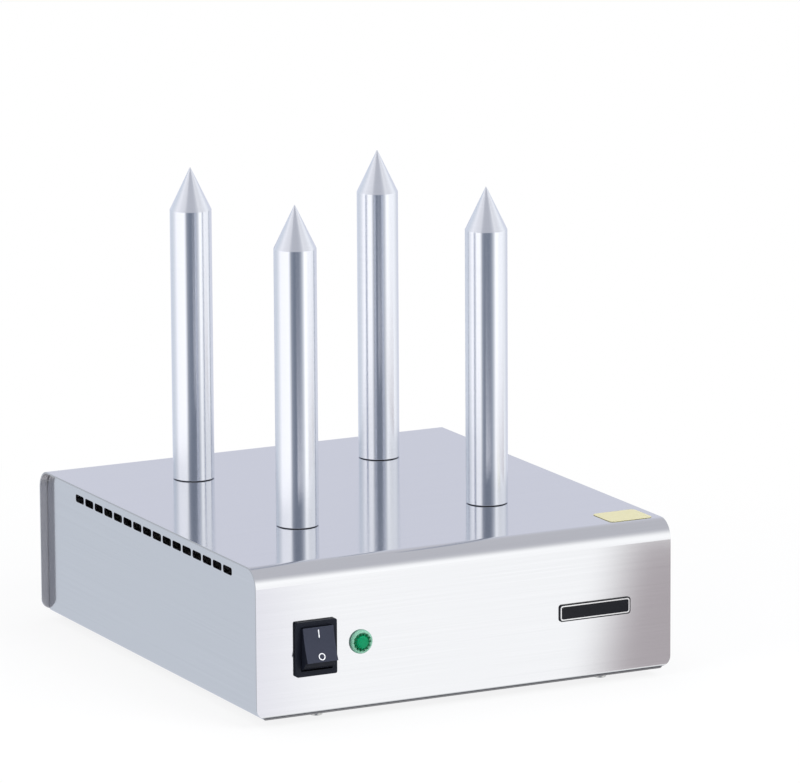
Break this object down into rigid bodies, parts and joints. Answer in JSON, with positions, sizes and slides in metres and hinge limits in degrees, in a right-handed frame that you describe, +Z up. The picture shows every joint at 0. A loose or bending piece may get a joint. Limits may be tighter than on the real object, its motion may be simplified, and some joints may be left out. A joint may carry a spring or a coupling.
{
  "type": "hot dog spike machine",
  "caption": "Table-top hot dog bun warmer: heated pointed spikes stand on a low bent-sheet steel casing with side vent slots, a rocker switch and a green lamp.",
  "frame": {"origin": "middle of the machine's bounding box, on the surface that its feet stand on", "axes": "+Z up, the front with the switch faces -Y, the switch is on the -X side"},
  "size_m": [0.269, 0.33, 0.2829],
  "materials": {
    "badge_black": "gloss with a silver rim",
    "black_plastic": "satin",
    "block_ceramic": "unglazed",
    "brass": "plain",
    "brushed_steel": "brushed, half bright",
    "earth_sleeve": "plain",
    "foot_rubber": "matt",
    "heater_steel": "dull",
    "label_yellow": "satin film",
    "lamp_plastic": "plain",
    "lead_sleeve": "braided sleeve",
    "lens_green": "clear, tinted",
    "rocker_plastic": "satin",
    "tray_steel": "polished",
    "turned_aluminium": "turned and polished",
    "washer_mica": "matt",
    "zinc_steel": "zinc plated"
  },
  "bodies": {
    "casing": {"cover": "brushed_steel", "base_tray": "tray_steel", "foot_front_left": "foot_rubber", "foot_front_right": "foot_rubber", "foot_rear_left": "foot_rubber", "foot_rear_right": "foot_rubber", "base_screw_front_left": "zinc_steel", "base_screw_front_right": "zinc_steel", "base_screw_rear_left": "zinc_steel", "base_screw_rear_right": "zinc_steel", "spike_front_left": "turned_aluminium", "spike_washer_front_left": "washer_mica", "spike_nut_front_left": "zinc_steel", "heater_front_left": "heater_steel", "spike_front_right": "turned_aluminium", "spike_washer_front_right": "washer_mica", "spike_nut_front_right": "zinc_steel", "heater_front_right": "heater_steel", "spike_rear_left": "turned_aluminium", "spike_washer_rear_left": "washer_mica", "spike_nut_rear_left": "zinc_steel", "heater_rear_left": "heater_steel", "spike_rear_right": "turned_aluminium", "spike_washer_rear_right": "washer_mica", "spike_nut_rear_right": "zinc_steel", "heater_rear_right": "heater_steel", "switch_housing": "black_plastic", "switch_tab_left_top": "brass", "switch_tab_right_top": "brass", "switch_tab_left_low": "brass", "switch_tab_right_low": "brass", "lamp_lens": "lens_green", "lamp_body": "lamp_plastic", "lamp_clip": "zinc_steel", "badge_plate": "badge_black", "blank_label": "label_yellow", "gland_body": "black_plastic", "gland_nut": "black_plastic", "gland_seal": "foot_rubber", "gland_locknut": "black_plastic", "terminal_block": "block_ceramic", "terminal_screw_left": "zinc_steel", "terminal_screw_right": "zinc_steel", "thermal_cut_out": "heater_steel", "cut_out_nut_left": "zinc_steel", "cut_out_nut_right": "zinc_steel", "earth_bolt": "brass", "earth_ring": "brass", "earth_nut": "zinc_steel", "heater_lead_front_left": "lead_sleeve", "heater_lead_front_right": "lead_sleeve", "heater_lead_rear_left": "lead_sleeve", "heater_lead_rear_right": "lead_sleeve", "switch_lead": "lead_sleeve", "lamp_lead": "lead_sleeve", "cut_out_lead": "lead_sleeve", "earth_lead": "earth_sleeve"},
    "rocker": {"switch_rocker": "rocker_plastic"}
  },
  "joints": [
    {"name": "rocker_hinge", "type": "hinge", "parent": "casing", "child": "rocker", "pos_m": [-0.0974, -0.1516, 0.0447], "axis": [1, 0, 0], "range_deg": [0, 35]}
  ]
}
